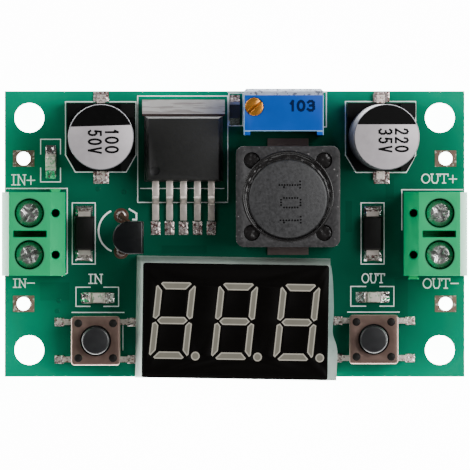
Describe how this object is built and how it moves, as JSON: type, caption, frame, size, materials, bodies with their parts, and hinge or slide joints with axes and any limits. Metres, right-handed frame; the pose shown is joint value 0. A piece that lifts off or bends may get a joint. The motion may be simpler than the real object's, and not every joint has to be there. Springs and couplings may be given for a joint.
{
  "type": "buck converter module",
  "caption": "Step-down converter module on a green board with screw terminals, trimmer, power inductor, digit display and push switches.",
  "frame": {"origin": "centre of the four mounting holes, on the board's underside", "axes": "+X from the input terminal to the output terminal, +Y to the capacitors' edge, +Z out of the component side"},
  "size_m": [0.0566, 0.0356, 0.014],
  "materials": {
    "solder_mask": "green lacquer over copper",
    "tinned_copper": "tinned copper",
    "can_sleeve": "plain drawn aluminium",
    "black_plastic": "moulded",
    "regulator_moulding": "matt epoxy",
    "tin": "satin tin plate",
    "ferrite": "ground ferrite",
    "copper_wire": "lacquered",
    "green_plastic": "moulded",
    "blue_plastic": "moulded",
    "grey_plastic": "moulded",
    "brass": "turned",
    "steel": "zinc plated",
    "ceramic": "fired ceramic",
    "resin": "hardened resin",
    "display_black": "satin black face",
    "segment_resin": "diffusing resin",
    "cover_metal": "browned steel",
    "lamp_resin": "cast resin",
    "solder": "solder"
  },
  "bodies": {
    "board": {"chip_resistors": "ceramic", "circuit_board": "solder_mask", "controller_body": "regulator_moulding", "controller_leads": "tin", "diode_leads": "tin", "display_face": "display_black", "display_housing": "grey_plastic", "display_pins": "tin", "display_resin": "resin", "display_segments": "segment_resin", "inductor_clips": "tin", "inductor_drum": "ferrite", "inductor_shield": "ferrite", "inductor_winding": "copper_wire", "input_capacitor_can": "can_sleeve", "input_capacitor_leads": "tin", "input_capacitor_seat": "black_plastic", "input_diode_body": "regulator_moulding", "input_light": "lamp_resin", "input_switch_base": "black_plastic", "input_switch_cover": "cover_metal", "input_switch_dome": "steel", "input_switch_leads": "tin", "input_terminal_contacts": "tin", "input_terminal_housing": "green_plastic", "output_capacitor_can": "can_sleeve", "output_capacitor_leads": "tin", "output_capacitor_seat": "black_plastic", "output_diode_body": "regulator_moulding", "output_light": "lamp_resin", "output_switch_base": "black_plastic", "output_switch_cover": "cover_metal", "output_switch_dome": "steel", "output_switch_leads": "tin", "output_terminal_contacts": "tin", "output_terminal_housing": "green_plastic", "power_light": "lamp_resin", "regulator_body": "regulator_moulding", "regulator_leads": "tin", "regulator_tab": "tin", "small_regulator_body": "regulator_moulding", "small_regulator_leads": "tin", "solder_joints": "solder", "trimmer_element": "ceramic", "trimmer_housing": "blue_plastic", "trimmer_pins": "tin", "trimmer_potting": "resin", "wire_pads": "tinned_copper"},
    "input_button": {"input_switch_button": "black_plastic"},
    "input_screw_a": {"input_terminal_screw_a": "steel"},
    "input_cage_a": {"input_terminal_cage_a": "steel"},
    "input_screw_b": {"input_terminal_screw_b": "steel"},
    "input_cage_b": {"input_terminal_cage_b": "steel"},
    "output_button": {"output_switch_button": "black_plastic"},
    "output_screw_a": {"output_terminal_screw_a": "steel"},
    "output_cage_a": {"output_terminal_cage_a": "steel"},
    "output_screw_b": {"output_terminal_screw_b": "steel"},
    "output_cage_b": {"output_terminal_cage_b": "steel"},
    "trimmer_screw": {"trimmer_screw": "brass"},
    "trimmer_slider": {"trimmer_slider": "ceramic"}
  },
  "joints": [
    {"name": "input_button_press", "type": "slide", "parent": "board", "child": "input_button", "axis": [0, 0, -1], "range_m": [0, 0.00025], "stiffness_N_per_m": 4000, "deforming": ["input_switch_dome"]},
    {"name": "input_screw_a_turn", "type": "hinge", "parent": "board", "child": "input_screw_a", "pos_m": [-0.025, 0.00254, 0.0106], "axis": [0, 0, -1], "range_deg": [0, 1261]},
    {"name": "input_cage_a_rise", "type": "slide", "parent": "board", "child": "input_cage_a", "axis": [0, 0, 1], "range_m": [0, 0.00175]},
    {"name": "input_screw_b_turn", "type": "hinge", "parent": "board", "child": "input_screw_b", "pos_m": [-0.025, -0.00254, 0.0106], "axis": [0, 0, -1], "range_deg": [0, 1261]},
    {"name": "input_cage_b_rise", "type": "slide", "parent": "board", "child": "input_cage_b", "axis": [0, 0, 1], "range_m": [0, 0.00175]},
    {"name": "output_button_press", "type": "slide", "parent": "board", "child": "output_button", "axis": [0, 0, -1], "range_m": [0, 0.00025], "stiffness_N_per_m": 4000, "deforming": ["output_switch_dome"]},
    {"name": "output_screw_a_turn", "type": "hinge", "parent": "board", "child": "output_screw_a", "pos_m": [0.025, 0.00254, 0.0106], "axis": [0, 0, -1], "range_deg": [0, 1261]},
    {"name": "output_cage_a_rise", "type": "slide", "parent": "board", "child": "output_cage_a", "axis": [0, 0, 1], "range_m": [0, 0.00175]},
    {"name": "output_screw_b_turn", "type": "hinge", "parent": "board", "child": "output_screw_b", "pos_m": [0.025, -0.00254, 0.0106], "axis": [0, 0, -1], "range_deg": [0, 1261]},
    {"name": "output_cage_b_rise", "type": "slide", "parent": "board", "child": "output_cage_b", "axis": [0, 0, 1], "range_m": [0, 0.00175]},
    {"name": "trimmer_turn", "type": "hinge", "parent": "board", "child": "trimmer_screw", "pos_m": [0.0024, 0.0155, 0.0111], "axis": [0, 0, -1], "range_deg": [-4502, 4502]},
    {"name": "trimmer_slide", "type": "slide", "parent": "board", "child": "trimmer_slider", "axis": [0, 0, 1], "range_m": [-0.0025, 0.0025]}
  ],
  "couplings": [
    {"joint": "input_screw_a_turn", "follows": "input_cage_a_rise", "rad_per_m": 12566},
    {"joint": "input_screw_b_turn", "follows": "input_cage_b_rise", "rad_per_m": 12566},
    {"joint": "output_screw_a_turn", "follows": "output_cage_a_rise", "rad_per_m": 12566},
    {"joint": "output_screw_b_turn", "follows": "output_cage_b_rise", "rad_per_m": 12566},
    {"joint": "trimmer_turn", "follows": "trimmer_slide", "rad_per_m": 31416}
  ]
}
